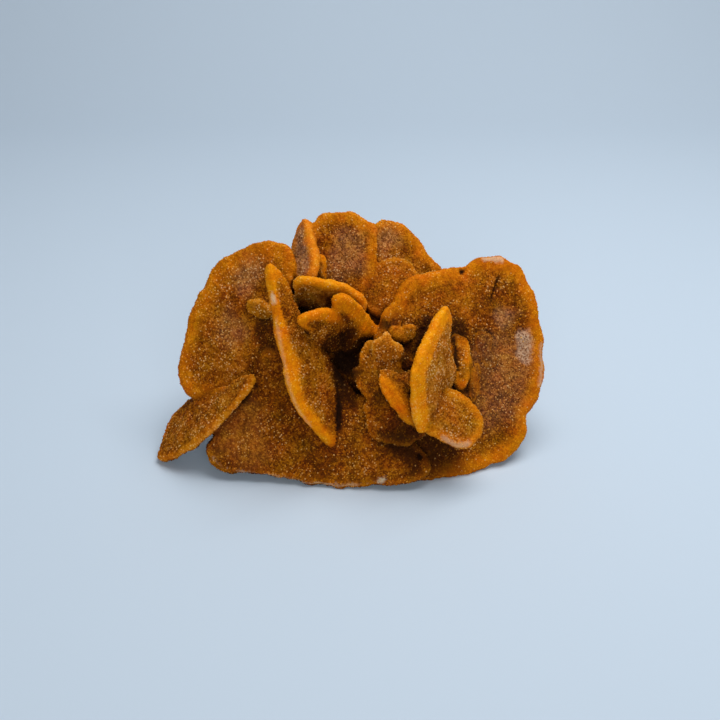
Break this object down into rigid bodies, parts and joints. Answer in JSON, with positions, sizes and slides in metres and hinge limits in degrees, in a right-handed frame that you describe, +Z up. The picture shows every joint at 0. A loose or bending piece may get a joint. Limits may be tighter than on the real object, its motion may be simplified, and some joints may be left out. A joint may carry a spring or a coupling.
{
  "type": "gypsum sand rose",
  "caption": "Free-standing cluster of lens-shaped sand-filled gypsum crystals that grew through one another, with leaning petal-like fans, upright fins and a rosette of small blades.",
  "frame": {"origin": "on the floor, under the middle of the stone's bounding box", "axes": "+X to the right along the widest extent as seen from the front, +Y to the back, +Z up"},
  "size_m": [0.1026, 0.0556, 0.0586],
  "materials": {
    "sand_gypsum": "dull orange-brown gypsum full of sand grains, smoother and brighter at the crystal edges"
  },
  "bodies": {
    "root": {"sand_rose": "sand_gypsum"}
  },
  "joints": []
}
